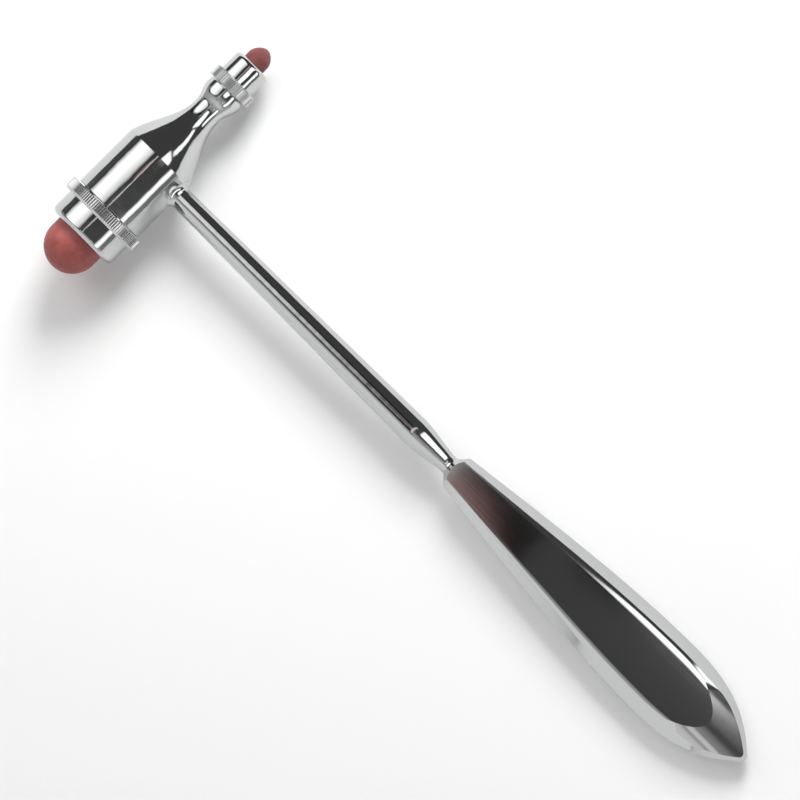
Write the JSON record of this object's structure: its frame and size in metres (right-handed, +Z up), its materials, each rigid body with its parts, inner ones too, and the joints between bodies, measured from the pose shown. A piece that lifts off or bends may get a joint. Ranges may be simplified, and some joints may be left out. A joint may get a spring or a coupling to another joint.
{
  "type": "reflex hammer",
  "caption": "Percussion hammer: a bottle-shaped metal head with a rubber bumper in a knurled screw cap at either end, a slim swelling shaft and a flat, pointed, bevelled handle.",
  "frame": {"origin": "on the table, below the middle of the whole hammer as it lies at rest", "axes": "+Z up, +Y from the handle's tip towards the head, +X from the head's large end towards its small end"},
  "size_m": [0.0842, 0.2476, 0.0261],
  "materials": {
    "polished_chrome": "polished",
    "knurled_chrome": "gloss",
    "red_rubber": "matte"
  },
  "bodies": {
    "hammer": {"head": "polished_chrome", "shaft": "polished_chrome", "handle": "polished_chrome"},
    "large_bumper": {"large_bumper": "red_rubber"},
    "large_cap": {"large_cap": "knurled_chrome"},
    "small_bumper": {"small_bumper": "red_rubber"},
    "small_cap": {"small_cap": "knurled_chrome"}
  },
  "joints": [
    {"name": "large_cap_travel", "type": "slide", "parent": "hammer", "child": "large_bumper", "axis": [-0.9964, 0, 0.0853], "range_m": [0, 0.005]},
    {"name": "large_cap_turn", "type": "hinge", "parent": "large_bumper", "child": "large_cap", "pos_m": [-0.00377, 0.11084, 0.01152], "axis": [-0.9964, 0, 0.0853], "range_deg": [0, 1800]},
    {"name": "small_cap_travel", "type": "slide", "parent": "hammer", "child": "small_bumper", "axis": [0.9964, 0, -0.0853], "range_m": [0, 0.00525]},
    {"name": "small_cap_turn", "type": "hinge", "parent": "small_bumper", "child": "small_cap", "pos_m": [-0.00377, 0.11084, 0.01152], "axis": [0.9964, 0, -0.0853], "range_deg": [0, 2520]}
  ],
  "couplings": [
    {"joint": "large_cap_travel", "follows": "large_cap_turn", "m_per_rad": 0.00015915},
    {"joint": "small_cap_travel", "follows": "small_cap_turn", "m_per_rad": 0.00011937}
  ]
}
